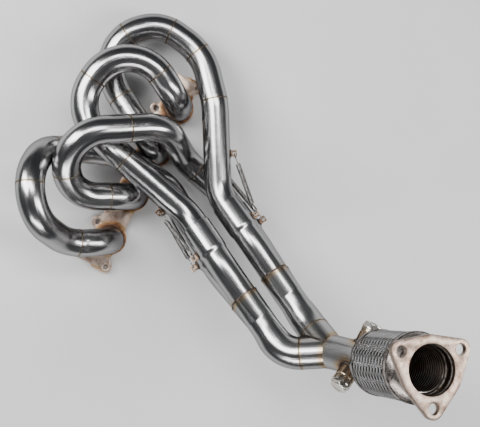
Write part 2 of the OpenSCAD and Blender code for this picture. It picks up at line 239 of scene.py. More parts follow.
def frames(points, tangents):
    """Two side vectors for each point of a line, with the least twist from one to the next."""
    side = any_side(tangents[0])
    sides = [side]
    for i in range(1, len(points)):
        side = across(side, tangents[i])
        sides.append(side)
    sides = np.array(sides)
    return sides, np.cross(tangents, sides)


def rings_round(points, tangents, radii, around=AROUND):
    """Circles of points square to a line."""
    xs, ys = frames(points, tangents)
    turn = np.linspace(0, 2 * math.pi, around, endpoint=False)
    radii = np.broadcast_to(np.asarray(radii, float), (len(points),))
    ring = np.cos(turn)[None, :, None] * xs[:, None] + np.sin(turn)[None, :, None] * ys[:, None]
    return np.asarray(points)[:, None] + ring * radii[:, None, None]


# ---------------------------------------------------------------- meshes and pieces

def grid_mesh(name, rings, loop=False, heat=None, sharp=38.0, along=None):
    """A mesh from rings of points. With loop the last ring joins the first one."""
    rings = np.asarray(rings, float)
    count, around = rings.shape[:2]
    rows = count if loop else count - 1
    i, j = np.meshgrid(np.arange(rows), np.arange(around), indexing="ij")
    below, above = i * around, (i + 1) % count * around
    right = (j + 1) % around
    faces = np.stack([below + j, below + right, above + right, above + j], -1).reshape(-1, 4)
    mesh = bpy.data.meshes.new(name)
    mesh.from_pydata((rings.reshape(-1, 3) * MM).tolist(), [], faces.tolist())
    level = np.arange(count + 1, dtype=float) if along is None else np.asarray(along, float)
    u = np.stack([j, j + 1, j + 1, j], -1) / around
    v = np.stack([level[i], level[i], level[i + 1], level[i + 1]], -1)
    layer = mesh.uv_layers.new(name="UVMap")
    layer.data.foreach_set("uv", np.stack([u, v], -1).astype(np.float32).ravel())
    if heat is not None:
        attribute = mesh.attributes.new("weld_warmth", "FLOAT", "POINT")
        attribute.data.foreach_set("value", np.asarray(heat, np.float32).ravel())
    mesh.shade_smooth()
    mesh.set_sharp_from_angle(angle=math.radians(sharp))
    return mesh


def make_piece(name, mesh, material, slot, body, *nodes):
    """A named piece that rides on a body and stands for the given CAD nodes."""
    obj = bpy.data.objects.new(name, mesh)
    bpy.context.scene.collection.objects.link(obj)
    if material.name not in [m.name for m in mesh.materials if m]:
        mesh.materials.append(material)
    if body:
        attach(obj, body)
    if nodes:
        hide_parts(*nodes)
    return obj


def warmth(points, welds):
    """How strongly each point is tinted. A weld is its centre, its axis, or None for a round spot,
    its radius, the strength of the tint and how far it spreads."""
    total = np.zeros(points.shape[:-1])
    for centre, axis, radius, strength, width in welds:
        offset = points - centre
        if axis is None:
            distance = np.maximum(np.linalg.norm(offset, axis=-1) - radius, 0)
        else:
            height = offset @ axis
            distance = np.abs(height)
            distance[np.linalg.norm(offset, axis=-1) > 2 * radius] = 1e3
        total = np.maximum(total, strength * np.exp(-(distance / width) ** 1.4))
    return total


def pipe_mesh(name, route, stations, outer, inner, welds=(), shift=None):
    """A tube with an outer and an inner wall. shift moves the ring points, wall by wall."""
    points, tangents = map(np.array, zip(*(route.at(s) for s in stations)))
    skins = [rings_round(points, tangents, outer), rings_round(points, tangents, inner)]
    if shift:
        skins = [shift(skin, wall) for skin, wall in zip(skins, (0.0, WALL))]
    rings = np.concatenate([skins[0], skins[1][::-1]])
    lengths = np.concatenate([stations, stations[::-1], stations[:1]])
    return grid_mesh(name, rings, loop=True, heat=warmth(rings, welds), along=lengths)


def bead_mesh(name, points, closed=True, radius=1.7, ripple=2.4):
    """A weld bead along a line on the surface, in overlapping ripples."""
    points = np.asarray(points, float)
    steps = np.linalg.norm(np.diff(points, axis=0, append=points[:1] if closed else points[-1:]), axis=1)
    lengths = np.concatenate([[0], np.cumsum(steps)[:-1]])
    ahead = np.roll(points, -1, axis=0) - np.roll(points, 1, axis=0)
    if not closed:
        ahead[0], ahead[-1] = points[1] - points[0], points[-1] - points[-2]
    tangents = ahead / np.linalg.norm(ahead, axis=1)[:, None]
    wave = np.abs(np.sin(math.pi * lengths / ripple))
    swell = radius * (0.84 + 0.16 * wave + 0.05 * np.sin(lengths * 0.37 + radius))
    xs, ys = frames(points, tangents)
    if closed:
        centre = points.mean(axis=0)
        xs = np.array([across(p - centre, t) for p, t in zip(points, tangents)])
        ys = np.cross(tangents, xs)
    turn = np.linspace(0, 2 * math.pi, 10, endpoint=False)
    ring = np.cos(turn)[None, :, None] * xs[:, None] + np.sin(turn)[None, :, None] * ys[:, None]
    rings = points[:, None] + ring * swell[:, None, None]
    return grid_mesh(name, rings, loop=closed, sharp=180)


def circle_points(centre, axis, radius, spacing=0.6, side=None):
    x = any_side(axis) if side is None else side
    y = np.cross(axis, x)
    count = max(24, round(2 * math.pi * radius / spacing))
    turn = np.linspace(0, 2 * math.pi, count, endpoint=False)[:, None]
    return centre + radius * (np.cos(turn) * x + np.sin(turn) * y)


def weld(name, body, centre, axis, radius, bead=BEAD_R, sink=BEAD_R - BEAD_STANDS):
    """A bead all round a tube."""
    mesh = bead_mesh(name, circle_points(centre, axis, radius - sink), True, bead)
    return make_piece(name, mesh, WELD, "polished_steel", body)


def lathe_mesh(name, origin, axis, profile, around=AROUND, soften=0.5, heat=None):
    """A turned ring from a closed profile of (radius, height), up the outside and down the inside."""
    corners = [vec(*p) for p in profile]
    outline = []
    for i, corner in enumerate(corners):
        before, after = corners[i - 1] - corner, corners[(i + 1) % len(corners)] - corner
        for leg in (before, after):
            length = np.linalg.norm(leg)
            outline.append(corner + leg / length * min(soften, length / 3))
    x = any_side(axis)
    y = np.cross(axis, x)
    turn = np.linspace(0, 2 * math.pi, around, endpoint=False)[:, None]
    circle = np.cos(turn) * x + np.sin(turn) * y
    rings = np.array([origin + height * axis + radius * circle for radius, height in outline])
    warm = None
    if heat:
        foot, strength = heat
        heights = np.array([height for _, height in outline])
        warm = np.repeat(strength * np.exp(-np.abs(heights - foot) / 14)[:, None], around, axis=1)
    return grid_mesh(name, rings, loop=True, heat=warm, sharp=25)


def bevelled_copy(node, material, slot, body, width):
    """A copy of a plate's CAD mesh with its edges broken, standing for the node."""
    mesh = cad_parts[node].data.copy()
    mesh.name = node + "_plate"
    mesh.materials.clear()
    work = bmesh.new()
    work.from_mesh(mesh)
    bmesh.ops.remove_doubles(work, verts=work.verts, dist=1e-6)
    bmesh.ops.dissolve_limit(work, angle_limit=math.radians(1), verts=work.verts, edges=work.edges)
    corners = [e for e in work.edges if e.is_manifold and e.calc_face_angle() > math.radians(40)]
    bmesh.ops.bevel(work, geom=corners, offset=width * MM, segments=2, profile=0.5, affect="EDGES",
                    clamp_overlap=True)
    bmesh.ops.triangulate(work, faces=[f for f in work.faces if len(f.verts) > 4])
    work.to_mesh(mesh)
    work.free()
    mesh.shade_smooth()
    mesh.set_sharp_from_angle(angle=math.radians(28))
    return make_piece(node + "_plate", mesh, material, slot, body, node)


# ---------------------------------------------------------------- materials

def new_material(name, metallic=1.0):
    material = bpy.data.materials.new(name)
    material.use_nodes = True
    shader = material.node_tree.nodes["Principled BSDF"]
    shader.inputs["Metallic"].default_value = metallic
    return material, material.node_tree, shader


def add_node(tree, kind, **settings):
    """A node with its properties set by name, and its inputs by name in the dictionary inputs."""
    inputs = settings.pop("inputs", {})
    node = tree.nodes.new(kind)
    for key, value in settings.items():
        setattr(node, key, value)
    for key, value in inputs.items():
        if isinstance(value, bpy.types.NodeSocket):
            tree.links.new(value, node.inputs[key])
        else:
            node.inputs[key].default_value = value
    return node


def noise(tree, scale, detail=4.0, roughness=0.55, vector=None):
    place = vector or add_node(tree, "ShaderNodeTexCoord").outputs["Object"]
    return add_node(tree, "ShaderNodeTexNoise", inputs={
        "Vector": place, "Scale": scale, "Detail": detail, "Roughness": roughness}).outputs["Fac"]


def math_node(tree, operation, first, second=0.0, third=0.0):
    return add_node(tree, "ShaderNodeMath", operation=operation,
                    inputs={0: first, 1: second, 2: third}).outputs[0]


def spread_value(tree, value, low, high, from_low=0.3, from_high=0.7):
    return add_node(tree, "ShaderNodeMapRange", inputs={
        "Value": value, "From Min": from_low, "From Max": from_high,
        "To Min": low, "To Max": high}).outputs["Result"]


def ramp(tree, value, stops):
    node = add_node(tree, "ShaderNodeValToRGB", inputs={"Fac": value})
    elements = node.color_ramp.elements
    while len(elements) < len(stops):
        elements.new(1.0)
    for element, (position, colour) in zip(elements, stops):
        element.position = position
        element.color = (*colour, 1.0)
    return node.outputs["Color"]


def mix(tree, share, first, second, blend="MIX"):
    node = add_node(tree, "ShaderNodeMix", data_type="RGBA", blend_type=blend)
    for key, value in ((0, share), (6, first), (7, second)):
        if isinstance(value, bpy.types.NodeSocket):
            tree.links.new(value, node.inputs[key])
        else:
            node.inputs[key].default_value = value if key == 0 else (*value, 1.0)
    return node.outputs[2]


def bump(tree, shader, layers):
    """Bump from (height, distance in metres) layers, one on the other."""
    normal = None
    for height, distance in layers:
        node = add_node(tree, "ShaderNodeBump", inputs={"Height": height, "Distance": distance})
        if normal:
            tree.links.new(normal, node.inputs["Normal"])
        normal = node.outputs["Normal"]
    tree.links.new(normal, shader.inputs["Normal"])


def uv_parts(tree):
    """How far round the tube, as a share of a turn, and how far along it, in millimetres."""
    uv = add_node(tree, "ShaderNodeUVMap", uv_map="UVMap").outputs["UV"]
    split = add_node(tree, "ShaderNodeSeparateXYZ", inputs={0: uv})
    return split.outputs["X"], split.outputs["Y"]


def choose(tree, switch, first, second):
    """The first value where switch is 0 and the second where it is 1."""
    return add_node(tree, "ShaderNodeMix", data_type="FLOAT",
                    inputs={0: switch, 2: first, 3: second}).outputs[0]


def sine_of(tree, value, scale):
    return math_node(tree, "SINE", math_node(tree, "MULTIPLY", value, scale))


def streaks(tree, around, along, detail=3.0):
    """Noise drawn out along a tube: around and along are how many changes per turn and per metre."""
    around_part, along_part = uv_parts(tree)
    turn = math_node(tree, "MULTIPLY", around_part, 2 * math.pi)
    place = add_node(tree, "ShaderNodeCombineXYZ", inputs={
        "X": math_node(tree, "MULTIPLY", math_node(tree, "COSINE", turn), around / (2 * math.pi)),
        "Y": math_node(tree, "MULTIPLY", math_node(tree, "SINE", turn), around / (2 * math.pi)),
        "Z": math_node(tree, "MULTIPLY", along_part, along * MM)}).outputs[0]
    return noise(tree, 1.0, detail, 0.6, place)


def polished_steel():
    """Polished stainless tube: a satin sheen drawn along it, and straw to blue tint by each weld."""
    material, tree, shader = new_material("polished_steel")
    shader.inputs["Specular Tint"].default_value = (0.42, 0.42, 0.43, 1.0)
    heat = add_node(tree, "ShaderNodeAttribute", attribute_name="weld_warmth").outputs["Fac"]
    uneven = noise(tree, 140, 3)
    heat = math_node(tree, "MULTIPLY", heat, spread_value(tree, uneven, 0.7, 1.25))
    fine, broad = streaks(tree, 70, 14), streaks(tree, 9, 5)
    steel = ramp(tree, broad, [(0.3, (0.32, 0.315, 0.32)), (0.7, (0.47, 0.465, 0.465))])
    grain = ramp(tree, fine, [(0.32, (0.84, 0.84, 0.84)), (0.66, (1.0, 1.0, 1.0))])
    steel = mix(tree, 1.0, steel, grain, "MULTIPLY")
    tint = ramp(tree, heat, [
        (0.03, (1.0, 1.0, 1.0)), (0.16, (1.0, 0.90, 0.74)), (0.34, (0.95, 0.72, 0.46)),
        (0.55, (0.62, 0.40, 0.28)), (0.72, (0.38, 0.33, 0.44)), (0.9, (0.34, 0.34, 0.38))])
    tree.links.new(mix(tree, 1.0, steel, tint, "MULTIPLY"), shader.inputs["Base Color"])
    smear = math_node(tree, "MULTIPLY_ADD", fine, 0.10, spread_value(tree, broad, 0.13, 0.20))
    rough = math_node(tree, "MULTIPLY_ADD", heat, 0.10, smear)
    tree.links.new(rough, shader.inputs["Roughness"])
    bump(tree, shader, [(noise(tree, 22, 1), 0.0006), (fine, 0.00018)])
    return material


def weld_steel():
    """The bead itself: duller, with straw and grey patches."""
    material, tree, shader = new_material("weld_steel")
    colour = ramp(tree, noise(tree, 260, 4), [
        (0.32, (0.02, 0.02, 0.02)), (0.48, (0.06, 0.05, 0.045)), (0.62, (0.11, 0.10, 0.09)),
        (0.75, (0.04, 0.04, 0.05))])
    tree.links.new(colour, shader.inputs["Base Color"])
    tree.links.new(spread_value(tree, noise(tree, 500), 0.36, 0.5), shader.inputs["Roughness"])
    bump(tree, shader, [(noise(tree, 1500, 3), 0.00008)])
    return material


def port_rings(tree):
    """How warm the head flange is: most at the weld round each port, none a few millimetres off."""
    place = add_node(tree, "ShaderNodeTexCoord").outputs["Object"]
    split = add_node(tree, "ShaderNodeSeparateXYZ", inputs={0: place})
    pitch = PORT_PITCH * MM
    x = math_node(tree, "ABSOLUTE", math_node(tree, "WRAP", split.outputs["X"], pitch, 0.0))
    x = math_node(tree, "SUBTRACT", x, pitch / 2)
    y = split.outputs["Y"]
    square = math_node(tree, "MULTIPLY_ADD", x, x, math_node(tree, "MULTIPLY", y, y))
    off = math_node(tree, "SUBTRACT", math_node(tree, "SQRT", square), TUBE_R * MM)
    return spread_value(tree, off, 1.0, 0.0, 0.0, 0.011)


def flange_steel(name, ported):
    """Cut plate with a cream satin face, faint stains and a fine grain; the outlet flange's copy is darker,
    as painted shade.
    """
    material, tree, shader = new_material(name)
    colour = ramp(tree, noise(tree, 70, 8, 0.65), [
        (0.34, (0.11, 0.07, 0.05)), (0.44, (0.20, 0.145, 0.115)), (0.60, (0.27, 0.215, 0.175)),
        (0.8, (0.16, 0.115, 0.09))])
    # The head flange's copy is 2.2 times lighter; the outlet flange's copy keeps the dark stops as painted
    # shade against the strong top lamp on its face.
    if ported:
        colour = mix(tree, 1.0, colour, (2.2, 2.25, 2.3), "MULTIPLY")
    speck = ramp(tree, noise(tree, 420, 3), [(0.34, (0.55, 0.48, 0.42)), (0.42, (1.0, 1.0, 1.0))])
    colour = mix(tree, 0.8, colour, speck, "MULTIPLY")
    if ported:
        warm = math_node(tree, "MULTIPLY", port_rings(tree), spread_value(tree, noise(tree, 150), 0.6, 1.2))
        tint = ramp(tree, warm, [(0.05, (1.0, 1.0, 1.0)), (0.3, (0.95, 0.76, 0.48)),
                                 (0.6, (0.55, 0.36, 0.22)), (0.95, (0.24, 0.20, 0.22))])
        colour = mix(tree, 1.0, colour, tint, "MULTIPLY")
    tree.links.new(colour, shader.inputs["Base Color"])
    tree.links.new(spread_value(tree, noise(tree, 120, 5), 0.3, 0.46), shader.inputs["Roughness"])
    bump(tree, shader, [(noise(tree, 90, 6), 0.0002), (noise(tree, 1300, 2), 0.00004)])
    return material


def tinted_steel(name, light, dark, low_rough, high_rough, scale):
    """Small unpolished steel parts: two tones in patches, with a fine grain."""
    material, tree, shader = new_material(name)
    colour = ramp(tree, noise(tree, scale, 5), [(0.32, dark), (0.66, light)])
    tree.links.new(colour, shader.inputs["Base Color"])
    tree.links.new(spread_value(tree, noise(tree, scale * 4), low_rough, high_rough),
                   shader.inputs["Roughness"])
    bump(tree, shader, [(noise(tree, scale * 9, 2), 0.00005)])
    return material


def woven_steel():
    """Wire braid: fine wires along each band, with painted shade between the wires and in the gaps beside
    each band, by turns in two directions.
    """
    material, tree, shader = new_material("woven_steel")
    around_part, along_part = uv_parts(tree)
    u = math_node(tree, "MULTIPLY", around_part, BRAID_BANDS)
    v = math_node(tree, "MULTIPLY", along_part, 1 / BRAID_PITCH)
    one, two = math_node(tree, "ADD", u, v), math_node(tree, "SUBTRACT", u, v)
    cells = math_node(tree, "ADD", math_node(tree, "FLOOR", one), math_node(tree, "FLOOR", two))
    odd = math_node(tree, "PINGPONG", cells, 1.0)
    height = choose(tree, odd, *(sine_of(tree, line, 2 * math.pi * WIRES_IN_BAND) for line in (two, one)))
    # Painted shade: each wire is darker down its sides and lighter on its crown, following its height.
    colour = ramp(tree, spread_value(tree, height, 0, 1, -1, 1), [
        (0.0, (0.28, 0.28, 0.28)), (1.0, (0.52, 0.52, 0.53))])
    # Painted shade: dark along the edges of each band, where the bands pass under each other.
    edge = choose(tree, odd, *(sine_of(tree, line, math.pi) for line in (two, one)))
    edge = math_node(tree, "ABSOLUTE", edge)
    gap_shade = ramp(tree, edge, [(0.12, (0.02, 0.02, 0.02)), (0.42, (0.5, 0.5, 0.5)), (0.75, (1.0, 1.0, 1.0))])
    colour = mix(tree, 1.0, colour, gap_shade, "MULTIPLY")
    stain = ramp(tree, noise(tree, 60, 4), [(0.3, (0.78, 0.72, 0.66)), (0.6, (1.0, 1.0, 1.0))])
    tree.links.new(mix(tree, 0.7, colour, stain, "MULTIPLY"), shader.inputs["Base Color"])
    tree.links.new(spread_value(tree, noise(tree, 300), 0.10, 0.20), shader.inputs["Roughness"])
    shader.inputs["Specular Tint"].default_value = (0.4, 0.4, 0.4, 1.0)
    bump(tree, shader, [(height, 0.00005)])
    return material


def ribbed_steel():
    """The liner: a painted highlight on the crest of each rib and painted shade between them."""
    material, tree, shader = new_material("ribbed_steel")
    around_part, along_part = uv_parts(tree)
    turns = math_node(tree, "MULTIPLY_ADD", along_part, 1 / LINER_RIB, around_part)
    wave = math_node(tree, "ABSOLUTE", sine_of(tree, turns, math.pi))
    # Painted highlight on each rib's crest and painted shade in the hollows between ribs.
    colour = ramp(tree, wave, [(0.45, (0.03, 0.027, 0.025)), (0.8, (0.20, 0.18, 0.17)),
                               (0.96, (0.75, 0.70, 0.66))])
    stain = ramp(tree, noise(tree, 40, 4), [(0.3, (0.6, 0.5, 0.42)), (0.6, (1.0, 1.0, 1.0))])
    tree.links.new(mix(tree, 1.0, colour, stain, "MULTIPLY"), shader.inputs["Base Color"])
    tree.links.new(spread_value(tree, noise(tree, 90), 0.28, 0.4), shader.inputs["Roughness"])
    bump(tree, shader, [(noise(tree, 400, 2), 0.00005)])
    return material


def pale_floor():
    material, tree, shader = new_material("pale_floor", 0.0)
    colour = ramp(tree, noise(tree, 3, 4), [(0.3, (0.52, 0.52, 0.52)), (0.7, (0.56, 0.56, 0.56))])
    tree.links.new(colour, shader.inputs["Base Color"])
    shader.inputs["Roughness"].default_value = 0.85
    return material


POLISHED = polished_steel()
WELD = weld_steel()
# The outlet flange's plate: the darker copy of the flange steel, painted shade.
FLANGE = flange_steel("flange_steel", False)
HEAD = flange_steel("head_flange_steel", True)
TAB = tinted_steel("tab_steel", (0.17, 0.11, 0.07), (0.07, 0.05, 0.04), 0.25, 0.4, 160)
SPRING = tinted_steel("spring_steel", (0.30, 0.29, 0.28), (0.12, 0.11, 0.11), 0.22, 0.36, 200)
BRAID = woven_steel()
ROUGH = tinted_steel("welded_skirt", (0.34, 0.30, 0.27), (0.10, 0.09, 0.09), 0.2, 0.4, 130)
LINER = ribbed_steel()
FORMED = tinted_steel("formed_strip", (0.56, 0.55, 0.53), (0.36, 0.34, 0.32), 0.2, 0.34, 60)
PLUG = tinted_steel("plug_steel", (0.66, 0.64, 0.60), (0.50, 0.46, 0.40), 0.14, 0.28, 90)


# ---------------------------------------------------------------- primary tubes

def weld_spot(point, axis, radius, strength=0.34, width=1.8):
    """One row for warmth()."""
    return point, axis, radius, strength, width


def build_primaries():
    for number, rows in PRIMARY_ROUTES.items():
        route = Route(rows)
        first = HEAD_T
        for part, end in PRIMARY_PARTS[number].items():
            node = f"primary_{number}_{part}"
            last = end or route.length
            places = [first] + ([end] if end else []) + [s for n, s in EXTRA_WELDS if n == number]
            welds = [weld_spot(*route.at(s), TUBE_R) for s in places if first <= s <= last]
            welds.append(weld_spot(TAB_ROOTS[number - 1], None, 3.0, 0.6, 5.0))
            mesh = pipe_mesh(node + "_tube", route, spread(first, last), TUBE_R, TUBE_R - WALL, welds)
            make_piece(node + "_tube", mesh, POLISHED, "polished_steel", "upper", node)
            thick = PORT_BEAD_R if part == "port_elbow" else BEAD_R
            weld(f"weld_{node}", "upper", *route.at(first), TUBE_R, thick, thick - BEAD_STANDS)
            first = last
    for number, station in EXTRA_WELDS:
        place = Route(PRIMARY_ROUTES[number]).at(station)
        weld(f"weld_primary_{number}_extra", "upper", *place, TUBE_R)


# ---------------------------------------------------------------- slip joints

def last_way(number):
    """The direction of an upper tube before its last corner."""
    rows = PRIMARY_ROUTES[number]
    return unit(np.array(rows[-2][:3]) - np.array(rows[-3][:3]))


def upper_tab_frame(number):
    """The point on the tube's axis, the way out and the way along for an upper spring tab."""
    way = last_way(number)
    corner = np.array(PRIMARY_ROUTES[number][-2][:3])
    out = across(TAB_SIDES[number - 1] * SLIP_SIDE, way)
    return corner - TAB_BACK[number - 1] * way, out, way


def lower_tab_frame(number):
    place = SLIP_TOPS[number - 1] + (SLEEVE_LEN - TAB_BEFORE_END) * SLIP_DIR
    return place, TAB_SIDES[number - 1] * SLIP_SIDE, SLIP_DIR


TAB_ROOTS = [place + TUBE_R * out for place, out, _ in map(upper_tab_frame, (1, 2, 3, 4))]


def build_slip_tube(number):
    top, mid, merge = (row[number - 1] for row in (SLIP_TOPS, MIDS, MERGES))
    corner = top + LOWER_CORNER * SLIP_DIR
    lean = unit(merge - corner)
    end = merge - MERGE_BRANCH * lean
    route = Route([(*top, 0), (*corner, LOWER_BEND_R), (*end, 0)])
    away = across(unit(top - mid), SLIP_DIR)

    def flatten(skin, wall):
        depth = (skin - mid) @ away
        return skin + np.maximum(PAIR_GAP + wall - depth, 0)[..., None] * away

    lip = np.array([0, 0.25, 0.7, 1.2])
    neck = np.linspace(SLEEVE_LEN - 3, SLEEVE_LEN + NECK_LEN + 1, 14)
    stations = np.concatenate([lip, np.linspace(3, SLEEVE_LEN - 4, 12), neck,
                               spread(SLEEVE_LEN + NECK_LEN + 2, route.length)])
    share = np.clip((stations - SLEEVE_LEN + 1) / NECK_LEN, 0, 1)
    share = share * share * (3 - 2 * share)
    outer = SLEEVE_R + (TUBE_R - SLEEVE_R) * share
    outer[:3] -= (0.7, 0.3, 0.08)
    inner = SLEEVE_BORE + (TUBE_R - WALL - SLEEVE_BORE) * share
    place, out, _ = lower_tab_frame(number)
    welds = [weld_spot(end, lean, TUBE_R, 0.42, 5.0),
             weld_spot(place + SLEEVE_R * out, None, 3.0, 0.6, 4.0)]
    name = f"slip_tube_{number}"
    mesh = pipe_mesh(name + "_tube", route, stations, outer, inner, welds, flatten)
    make_piece(name + "_tube", mesh, POLISHED, "polished_steel", "lower", name)
    return route


def build_seams():
    """The bead between the two lower tubes of a pair, on the side of each, down to the merge."""
    for side, (front, rear, mid) in {"left": (4, 1, LEFT_MID), "right": (3, 2, RIGHT_MID)}.items():
        route = SLIP_ROUTES[front]
        away = across(unit(SLIP_TOPS[front - 1] - mid), SLIP_DIR)
        for hand in (-1, 1):
            line = []
            for station in np.arange(LOWER_CORNER, route.length + 1, 0.6):
                point, way = route.at(station)
                depth = (point - mid) @ away
                if depth < TUBE_R:
                    beside = unit(np.cross(way, away)) * hand
                    line.append(point - depth * away + beside * math.sqrt(TUBE_R ** 2 - depth ** 2))
            name = f"weld_pair_{side}_{'a' if hand < 0 else 'b'}"
            mesh = bead_mesh(name, line, False, 1.8)
            make_piece(name, mesh, WELD, "polished_steel", "lower")


def build_tab(number, upper):
    level = "upper" if upper else "lower"
    node = f"{level}_tab_{number}"
    bevelled_copy(node, TAB, "tab_steel", level, 0.4)
    place, out, way = upper_tab_frame(number) if upper else lower_tab_frame(number)
    radius = TUBE_R if upper else SLEEVE_R
    beside = np.cross(way, out)
    turn = np.linspace(0, 2 * math.pi, 60, endpoint=False)[:, None]
    long, short = TAB_FOOT
    line = place + (radius + 0.2) * out + long * np.cos(turn) * way + short * np.sin(turn) * beside
    make_piece(f"weld_{node}", bead_mesh(f"weld_{node}", line, True, 1.1), WELD, "tab_steel", level)


def build_spring(number):
    """A close-wound tension spring with a straight leg and a closed hook at each end."""
    lift = TAB_LIFTS[number - 1]
    place, out, way = upper_tab_frame(number)
    top = place + (TUBE_R + lift) * out
    low_place, low_out, _ = lower_tab_frame(number)
    low = low_place + (SLEEVE_R + lift) * low_out
    axis = unit(low - top)
    length = np.linalg.norm(low - top)
    x = across(np.cross(out, way), axis)
    y = np.cross(axis, x)
    turns = round((length - 2 * HOOK_LEN) / (2.15 * WIRE_R))
    angle = np.linspace(0, 2 * math.pi * turns, turns * 18)
    coil = np.stack([COIL_R * np.cos(angle), COIL_R * np.sin(angle),
                     HOOK_LEN + (length - 2 * HOOK_LEN) * angle / angle[-1]], -1)
    hook = np.linspace(-0.5 * math.pi, 1.35 * math.pi, 40)[::-1]
    loop = np.stack([HOOK_R * np.cos(hook + math.pi), 0 * hook, HOOK_R + HOOK_R * np.sin(hook)], -1)
    leg = np.stack([[0, 0, 2 * HOOK_R + z] for z in np.linspace(1, HOOK_LEN - 2 * HOOK_R - 3, 6)])
    ease = np.linspace(0, 1, 8)[1:-1, None]
    start = np.concatenate([loop, leg, leg[-1] * (1 - ease) + coil[0] * ease])
    finish = start[::-1] * vec(1, -1, -1) + vec(0, 0, length)
    cos, sin = math.cos(angle[-1]), math.sin(angle[-1])
    spin = np.array([[cos, sin, 0], [-sin, cos, 0], [0, 0, 1]])
    line = np.concatenate([start, coil, finish @ spin])
    points = top + line @ np.stack([x, y, axis])
    tangents = np.gradient(points, axis=0)
    tangents /= np.linalg.norm(tangents, axis=1)[:, None]
    rings = rings_round(points, tangents, WIRE_R, 10)
    name = f"spring_{number}_wire"
    obj = make_piece(name, grid_mesh(name, rings, sharp=60), SPRING, "spring_steel", None,
                     f"spring_{number}")
    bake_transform(obj)


# ---------------------------------------------------------------- merges, secondaries, collector

def build_merge(side, front, rear, centre):
    """Two round branches that run into one tube, with the outline of both at each height."""
    leans = [unit(centre - top - LOWER_CORNER * SLIP_DIR) for top in (front, rear)]
    main = unit(leans[0] + leans[1])
    tilt = math.acos(leans[0] @ main)
    fan = across(-leans[0], main)
    beside = np.cross(main, fan)
    turn = np.linspace(0, 2 * math.pi, AROUND, endpoint=False)
    rings = {0.0: [], WALL: []}
    for wall in rings:
        radius = SECONDARY_R - wall
        for back in np.linspace(MERGE_BRANCH, 0, 30):
            apart = back * math.sin(tilt)
            reach = apart * np.abs(np.cos(turn)) + np.sqrt(radius ** 2 - (apart * np.sin(turn)) ** 2)
            middle = centre - back * math.cos(tilt) * main
            rings[wall].append(middle + reach[:, None] * (
                np.cos(turn)[:, None] * fan + np.sin(turn)[:, None] * beside))
        for ahead in np.linspace(0, MERGE_STUB, 8)[1:]:
            x = across(fan, SLIP_DIR)
            y = np.cross(SLIP_DIR, x)
            rings[wall].append(centre + ahead * SLIP_DIR + radius * (
                np.cos(turn)[:, None] * x + np.sin(turn)[:, None] * y))
    both = np.concatenate([rings[0.0], rings[WALL][::-1]])
    mouth = centre - MERGE_BRANCH * math.cos(tilt) * main
    welds = [weld_spot(mouth, main, 2 * SECONDARY_R, 0.5, 6.0)]
    name = f"merge_{side}"
    mesh = grid_mesh(name + "_shell", both, loop=True, heat=warmth(both, welds))
    make_piece(name + "_shell", mesh, POLISHED, "polished_steel", "lower", name)
    outline = rings[0.0][0]
    dense = resample(outline, 0.6)
    inward = mouth + (dense - mouth) * (1 - 1.0 / SECONDARY_R)
    make_piece(f"weld_{name}", bead_mesh(f"weld_{name}", inward, True, 1.9), WELD,
               "polished_steel", "lower")


def resample(points, spacing):
    """A closed line with points at an even spacing."""
    closed = np.concatenate([points, points[:1]])
    lengths = np.concatenate([[0], np.cumsum(np.linalg.norm(np.diff(closed, axis=0), axis=1))])
    wanted = np.linspace(0, lengths[-1], round(lengths[-1] / spacing), endpoint=False)
    return np.stack([np.interp(wanted, lengths, closed[:, k]) for k in range(3)], -1)


def swell_share(stations, first):
    """How much of its swell a secondary has reached: none at its first weld, all of it further on."""
    share = np.clip((stations - first) / SWELL_LEN, 0, 1)
    return share * share * (3 - 2 * share)


def build_secondary(side, rows):
    route = Route(rows)
    first, last = MERGE_STUB, route.length - BRANCH_LEN
    welds = [weld_spot(*route.at(last), SECONDARY_R)]
    name = f"secondary_{side}"
    stations = spread(first, last)
    outer = SECONDARY_R + SECONDARY_SWELL * swell_share(stations, first)
    mesh = pipe_mesh(name + "_tube", route, stations, outer, outer - WALL, welds)
    make_piece(name + "_tube", mesh, POLISHED, "polished_steel", "lower", name)
    weld(f"weld_{name}_end", "lower", *route.at(last), SECONDARY_R + SECONDARY_SWELL)
    return route


def build_collector(routes, pipe_route):
    """Two whole branches, whose walls cross inside, a short throat and a ball over their ends."""
    middle = weld_spot(*pipe_route.at(PIPE_SEAM), PIPE_R, 0.4, 4.0)
    back = unit(routes["left"].dirs[-1] + routes["right"].dirs[-1])
    crotch = weld_spot(JUNCTION - 26 * back, None, 8.0, 0.6, 10.0)
    for side, route in routes.items():
        last = route.length
        welds = [weld_spot(*route.at(last - BRANCH_LEN), SECONDARY_R, 0.4, 3.0), middle, crotch]
        name = f"collector_branch_{side}"
        radius = SECONDARY_R + SECONDARY_SWELL
        mesh = pipe_mesh(name, route, spread(last - BRANCH_LEN, last - 2), radius, radius - WALL, welds)
        make_piece(name, mesh, POLISHED, "polished_steel", "lower", "collector")
    name = "collector_throat"
    mesh = pipe_mesh(name, pipe_route, spread(0, PIPE_SEAM), PIPE_R, PIPE_R - WALL, [middle])
    make_piece(name, mesh, POLISHED, "polished_steel", "lower", "collector")
    ball = bpy.data.meshes.new("collector_crown")
    work = bmesh.new()
    bmesh.ops.create_uvsphere(work, u_segments=64, v_segments=40, radius=PIPE_R * MM)
    work.transform(Matrix.Translation(Vector(JUNCTION * MM)))
    work.to_mesh(ball)
    work.free()
    ball.shade_smooth()
    make_piece("collector_crown", ball, POLISHED, "polished_steel", "lower", "collector")
    line = pair_seam(routes["left"], routes["right"], SECONDARY_R + SECONDARY_SWELL)
    make_piece("weld_collector_crotch", bead_mesh("weld_collector_crotch", line, False, 2.0), WELD,
               "polished_steel", "lower")


